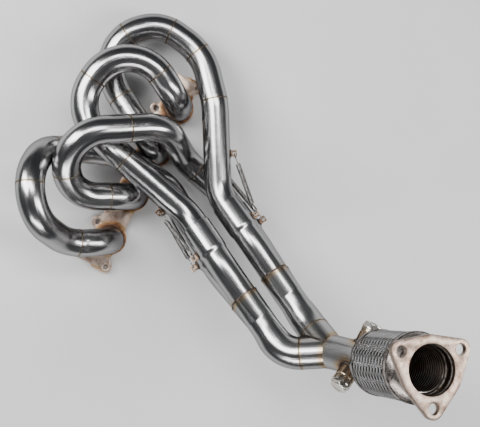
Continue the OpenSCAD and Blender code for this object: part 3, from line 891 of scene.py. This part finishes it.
def pair_seam(left, right, radius):
    """Where two equal branches that end in one point cross: half an ellipse on their mid-plane."""
    ways = left.dirs[-1], right.dirs[-1]
    main = unit(ways[0] + ways[1])
    normal = unit(np.cross(ways[0], ways[1]))
    tilt = math.acos(ways[0] @ main)
    turn = np.linspace(-0.5 * math.pi, 0.5 * math.pi, 160)[:, None]
    return JUNCTION - radius / math.sin(tilt) * np.cos(turn) * main + radius * np.sin(turn) * normal


# ---------------------------------------------------------------- collector pipe and bosses

def pipe_distance(route, point):
    """How far a point is from the pipe's centre line."""
    stations = np.linspace(0, route.length, 240)
    line = np.array([route.at(s)[0] for s in stations])
    return np.min(np.linalg.norm(line - point, axis=1))


def saddle(route, place, axis, radius, skin):
    """The line where a round boss meets the pipe's surface."""
    x = any_side(axis)
    y = np.cross(axis, x)
    line = []
    for turn in np.linspace(0, 2 * math.pi, 72, endpoint=False):
        edge = place + radius * (math.cos(turn) * x + math.sin(turn) * y)
        low, high = 0.0, 60.0
        for _ in range(18):
            middle = (low + high) / 2
            if pipe_distance(route, edge + middle * axis) < skin:
                low = middle
            else:
                high = middle
        line.append(edge + low * axis)
    return resample(np.array(line), 0.6)


def hex_mesh(name, origin, axis):
    """A hexagon head with chamfered corners and a shallow dish on top."""
    count = 96
    turn = np.linspace(0, 2 * math.pi, count, endpoint=False)
    flat = HEX_FLATS / 2 / np.cos((turn + math.pi / 6) % (math.pi / 3) - math.pi / 6)
    x = any_side(axis)
    y = np.cross(axis, x)
    corner = HEX_FLATS / 2 / math.cos(math.pi / 6)
    levels = [(corner - 0.5, 0.0), (corner, 0.4), (corner, HEX_H - 2.2), (corner - 0.7, HEX_H - 1.3),
              (corner - 1.6, HEX_H - 0.5), (corner - 2.3, HEX_H - 0.05), (corner - 2.6, HEX_H),
              (7.4, HEX_H), (7.0, HEX_H - 0.5), (3.0, HEX_H - 0.8), (0.02, HEX_H - 0.8)]
    rings = [origin + height * axis + np.minimum(flat, limit)[:, None] * (
        np.cos(turn)[:, None] * x + np.sin(turn)[:, None] * y) for limit, height in levels]
    return grid_mesh(name, rings, sharp=24)


def build_boss(level, route, place, axis):
    foot = 20.0
    name = f"sensor_boss_{level}"
    groove = BOSS_TOP - 8
    body = [(BOSS_R, foot), (BOSS_R, groove), (BOSS_R - 1.0, groove + 0.8), (BOSS_R - 1.0, groove + 1.8),
            (BOSS_R, groove + 2.6), (BOSS_R, BOSS_TOP), (BOSS_BORE_R, BOSS_TOP), (BOSS_BORE_R, foot)]
    mesh = lathe_mesh(name + "_body", place, axis, body, soften=0.4, heat=(PIPE_R, 0.8))
    make_piece(name + "_body", mesh, POLISHED, "polished_steel", "lower", name)
    bead = bead_mesh(f"weld_{name}", saddle(route, place, axis, BOSS_R + 0.4, PIPE_R + 0.2), True, 1.9)
    make_piece(f"weld_{name}", bead, WELD, "polished_steel", "lower")
    washer = [(BOSS_R + 1, BOSS_TOP), (BOSS_R + 1, BOSS_TOP + WASHER_T),
              (BOSS_BORE_R, BOSS_TOP + WASHER_T), (BOSS_BORE_R, BOSS_TOP)]
    name = f"plug_washer_{level}"
    make_piece(name + "_ring", lathe_mesh(name + "_ring", place, axis, washer, soften=0.6), PLUG,
               "plug_steel", "lower", name)
    name = f"sensor_plug_{level}"
    top = place + (BOSS_TOP + WASHER_T) * axis
    make_piece(name + "_hex", hex_mesh(name + "_hex", top, axis), PLUG, "plug_steel", "lower", name)


def build_collector_pipe():
    route = Route([(*JUNCTION, 0), (*PIPE_CORNER, 50), (*FLEX_START, 0)])
    place = route.at(BOSS_STATION)[0]
    welds = [weld_spot(*route.at(PIPE_SEAM), PIPE_R, 0.4, 4.0),
             weld_spot(*route.at(route.length), PIPE_R, 0.45, 3.0)]
    for axis in BOSS_AXES.values():
        welds.append(weld_spot(place + PIPE_R * axis, None, BOSS_R, 0.75, 7.0))
    mesh = pipe_mesh("collector_pipe_tube", route, spread(PIPE_SEAM, route.length), PIPE_R,
                     PIPE_R - WALL, welds)
    make_piece("collector_pipe_tube", mesh, POLISHED, "polished_steel", "lower", "collector_pipe")
    weld("weld_collector_pipe", "lower", *route.at(PIPE_SEAM), PIPE_R)
    weld("weld_flex_inlet", "lower", *route.at(route.length - 0.5), PIPE_R, 2.2, 0.6)
    for level, axis in BOSS_AXES.items():
        build_boss(level, route, place, axis)
    return route


# ---------------------------------------------------------------- flex section

def flex_at(station):
    return FLEX_START + station * FLEX_DIR


def flex_rings(radius, first, last, rows, around):
    """Rings of the flex section whose radius depends on the station and the angle."""
    x = any_side(FLEX_DIR)
    y = np.cross(FLEX_DIR, x)
    turn = np.linspace(0, 2 * math.pi, around, endpoint=False)
    stations = np.linspace(first, last, rows)
    s, t = np.meshgrid(stations, turn, indexing="ij")
    reach = radius(s, t)
    ring = np.cos(t)[..., None] * x + np.sin(t)[..., None] * y
    return flex_at(0) + s[..., None] * FLEX_DIR + reach[..., None] * ring, stations


def build_flex_shell(node, material, slot, radius, thick, first, last, rows, around, sharp=60):
    """A flexible shell in two halves, split at the middle of the flex."""
    halves = (("inlet", first, FLEX_MIDDLE, "lower", "flex_mid"),
              ("outlet", FLEX_MIDDLE, last, "flex_mid", "outlet"))
    for half, start, end, body, other in halves:
        outer, stations = flex_rings(radius, start, end, rows, around)
        inner, _ = flex_rings(lambda s, t: radius(s, t) - thick, start, end, rows, around)
        rings = np.concatenate([outer, inner[::-1]])
        along = np.concatenate([stations, stations[::-1], stations[:1]])
        name = f"{node}_{half}"
        mesh = grid_mesh(name, rings, loop=True, along=along, sharp=sharp)
        obj = make_piece(name, mesh, material, slot, None, node)
        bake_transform(obj)


def braid_radius(s, t):
    """Two families of slanted bands that pass over and under each other."""
    one = t / (2 * math.pi) * BRAID_BANDS + s / BRAID_PITCH
    two = t / (2 * math.pi) * BRAID_BANDS - s / BRAID_PITCH
    odd = (np.floor(one) + np.floor(two)) % 2
    crown_one = np.sin(math.pi * (one % 1)) ** 0.6
    crown_two = np.sin(math.pi * (two % 1)) ** 0.6
    over, under = np.where(odd > 0.5, crown_one, crown_two), np.where(odd > 0.5, crown_two, crown_one)
    return BRAID_R - 0.9 + 1.6 * over * (0.35 + 0.65 * under)


def liner_radius(s, t):
    """Ribs that wind along the liner like a thread."""
    return LINER_R - 1.5 * np.abs(np.sin(math.pi * (s / LINER_RIB + t / (2 * math.pi))))


def build_flex():
    build_flex_shell("flex_braid", BRAID, "braid_steel", braid_radius, 1.6, BAND_LEN - 1.5,
                     BRAID_END + 1.0, 110, 420)
    build_flex_shell("flex_bellows", FORMED, "bellows_steel",
                     lambda s, t: 36.8 + 2.9 * np.cos(2 * math.pi * s / BELLOWS_FOLD), 0.8,
                     CAP_T + 0.5, RING_END - 0.5, 100, 96)
    build_flex_shell("flex_liner", LINER, "bellows_steel", liner_radius, 0.8, CAP_T + 0.5,
                     CONE_END - 1.0, 260, 96)
    inlet = [(PIPE_R - WALL, 0), (RING_R - 1.5, 0), (RING_R, 1.5), (RING_R, BAND_LEN),
             (RING_R - BAND_T, BAND_LEN), (RING_R - BAND_T, CAP_T), (PIPE_R - WALL, CAP_T)]
    make_piece("flex_inlet_band", lathe_mesh("flex_inlet_band", flex_at(0), FLEX_DIR, inlet, 96),
               POLISHED, "polished_steel", "lower", "flex_inlet_ring")
    outlet = [(RING_R - BAND_T, BRAID_END), (RING_R, BRAID_END), (RING_R, RING_END),
              (BORE_R + WALL, CONE_END), (BORE_R, CONE_END), (BORE_R + 1, RING_END + 4),
              (RING_R - BAND_T, RING_END)]
    make_piece("flex_outlet_band", lathe_mesh("flex_outlet_band", flex_at(0), FLEX_DIR, outlet, 96),
               ROUGH, "polished_steel", "outlet", "flex_outlet_ring")
    stub = [(BORE_R + WALL, CONE_END), (BORE_R + WALL, FLEX_LEN - OUTLET_T), (BORE_R, FLEX_LEN - OUTLET_T),
            (BORE_R, CONE_END)]
    mesh = lathe_mesh("outlet_stub_tube", flex_at(0), FLEX_DIR, stub, 96, 0.2, (FLEX_LEN - OUTLET_T, 0.6))
    make_piece("outlet_stub_tube", mesh, POLISHED, "polished_steel", "outlet", "outlet_stub")
    weld("weld_cone", "outlet", flex_at(CONE_END), FLEX_DIR, BORE_R + WALL, 3.2, 0.6)
    weld("weld_outlet_flange", "outlet", flex_at(FLEX_LEN - OUTLET_T), FLEX_DIR, BORE_R + WALL, 2.6, 0.4)
    weld("weld_braid_inlet", "lower", flex_at(BAND_LEN), FLEX_DIR, RING_R, 1.0, 0.8)
    weld("weld_braid_outlet", "outlet", flex_at(BRAID_END + 1), FLEX_DIR, RING_R, 2.6, 2.0)
    weld("weld_braid_skirt", "outlet", flex_at(RING_END - 1), FLEX_DIR, RING_R, 2.2, 1.6)
    bevelled_copy("outlet_flange", FLANGE, "flange_steel", "outlet", 0.7)


# ---------------------------------------------------------------- stage

def build_stage():
    mesh = bpy.data.meshes.new("floor")
    half, level = 6.0, -0.0005
    corners = [(-half, -half, level), (half, -half, level), (half, half, level), (-half, half, level)]
    mesh.from_pydata(corners, [], [(0, 1, 2, 3)])
    mesh.materials.append(pale_floor())
    floor = bpy.data.objects.new("floor", mesh)
    bpy.context.scene.collection.objects.link(floor)


def build_camera():
    right = unit((0.458, -0.8797, 0.1281))
    ahead = across(vec(0.0134, -0.1372, -0.9905), right)
    up = np.cross(right, ahead)
    data = bpy.data.cameras.new("camera")
    data.sensor_width = 36.0
    data.lens = 63.75
    data.clip_start, data.clip_end = 0.05, 50.0
    camera = bpy.data.objects.new("camera", data)
    turn = Matrix([[right[k], up[k], -ahead[k]] for k in range(3)])
    camera.matrix_world = Matrix.Translation(Vector((-0.0049, 0.0230, 1.4123))) @ turn.to_4x4()
    bpy.context.scene.collection.objects.link(camera)
    bpy.context.scene.camera = camera
    return right, up


def add_light(name, place, target, width, height, power):
    data = bpy.data.lights.new(name, "AREA")
    data.shape = "RECTANGLE"
    data.size, data.size_y, data.energy = width, height, power
    light = bpy.data.objects.new(name, data)
    way = Vector(target) - Vector(place)
    light.rotation_mode = "QUATERNION"
    light.rotation_quaternion = way.to_track_quat("-Z", "Y")
    light.location = place
    bpy.context.scene.collection.objects.link(light)


def build_lights(right, up):
    middle = vec(-0.02, -0.13, 0.10)
    high = vec(0, 0, 1)
    add_light("key", middle - 1.0 * right + 0.6 * up + 1.3 * high, middle, 0.6, 1.2, 38)
    add_light("rim", middle + 1.2 * right - 0.1 * up + 1.0 * high, middle, 0.4, 1.2, 24)
    add_light("low", middle - 0.3 * right - 1.2 * up + 0.9 * high, middle, 1.2, 0.3, 14)
    add_light("top", middle + 0.2 * right + 0.9 * up + 2.2 * high, middle, 1.6, 0.5, 40)
    world = bpy.data.worlds.new("studio")
    world.use_nodes = True
    world.node_tree.nodes["Background"].inputs["Color"].default_value = (0.9, 0.95, 1.0, 1.0)
    world.node_tree.nodes["Background"].inputs["Strength"].default_value = 0.08
    bpy.context.scene.world = world


# ---------------------------------------------------------------- the whole object

build_stage()
build_lights(*build_camera())

build_primaries()
bevelled_copy("head_flange", HEAD, "flange_steel", "upper", 0.8)
SLIP_ROUTES = {number: build_slip_tube(number) for number in (1, 2, 3, 4)}
build_seams()
for number in (1, 2, 3, 4):
    build_tab(number, True)
    build_tab(number, False)
    build_spring(number)

build_merge("left", LEFT_FRONT, LEFT_REAR, LEFT_MERGE)
build_merge("right", RIGHT_FRONT, RIGHT_REAR, RIGHT_MERGE)
left_route = build_secondary("left", [
    (*LEFT_MERGE, 0), (*(LEFT_MERGE + 62 * SLIP_DIR), 48), (*JUNCTION, 0)])
right_route = build_secondary("right", [
    (*RIGHT_MERGE, 0), (*(RIGHT_MERGE + 45 * SLIP_DIR), 90), (*JUNCTION, 0)])
pipe_route = build_collector_pipe()
build_collector({"left": left_route, "right": right_route}, pipe_route)
build_flex()
